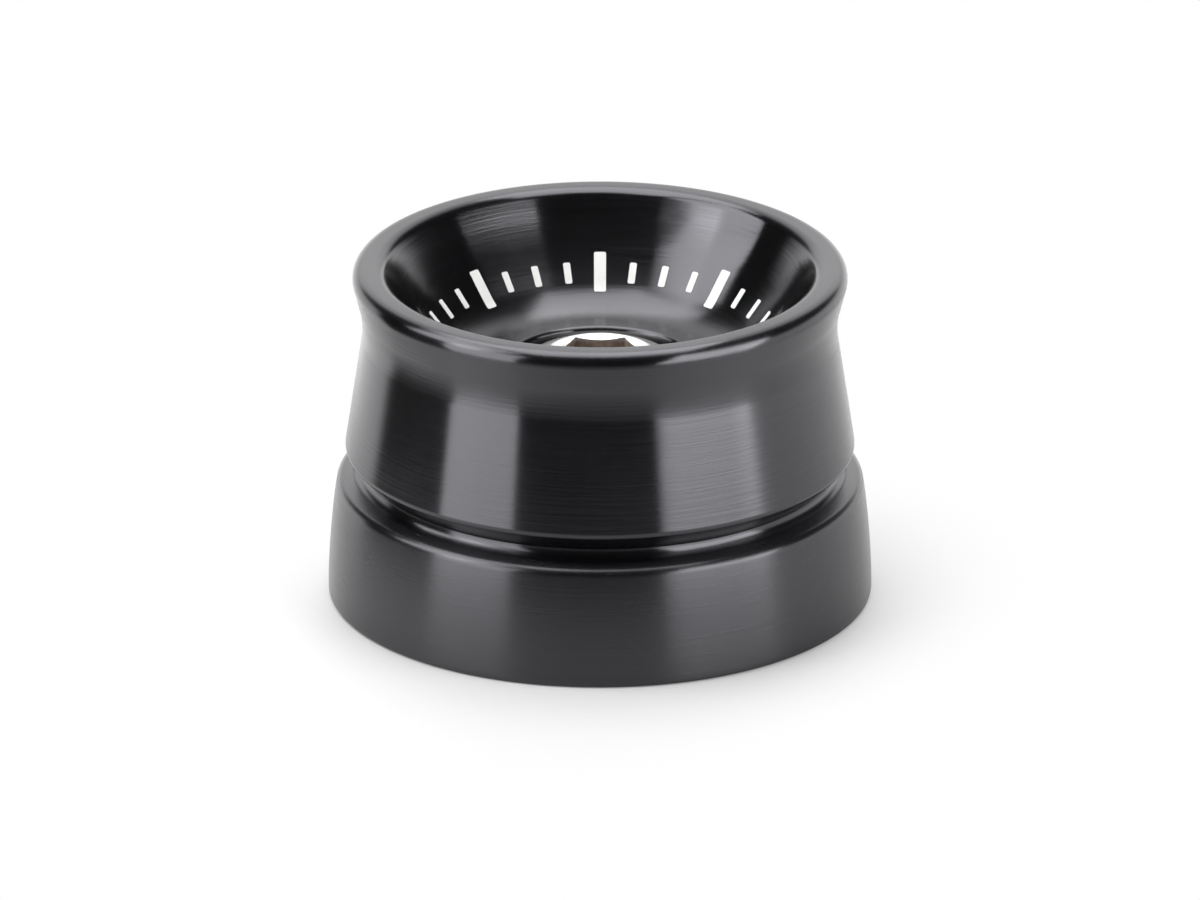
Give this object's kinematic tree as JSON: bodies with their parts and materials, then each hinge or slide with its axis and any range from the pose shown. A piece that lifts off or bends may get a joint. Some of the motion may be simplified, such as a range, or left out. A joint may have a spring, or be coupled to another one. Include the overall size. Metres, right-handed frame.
{
  "type": "handlebar end weight",
  "caption": "Turned aluminium handlebar end weight with a flared, dished face, an undercut groove, a rear trim ring and a recessed socket head cap screw.",
  "frame": {"origin": "centre of the rear face, which is the face that the weight stands on here and that meets the handlebar in use", "axes": "+Z along the weight's axis, out of the dished face"},
  "size_m": [0.032, 0.032, 0.0202],
  "materials": {
    "body_anodised": "black anodised, finely turned",
    "ring_anodised": "black anodised, satin",
    "stainless": "stainless steel, satin"
  },
  "bodies": {
    "root": {"weight_body": "body_anodised", "trim_ring": "ring_anodised", "socket_screw": "stainless"}
  },
  "joints": []
}
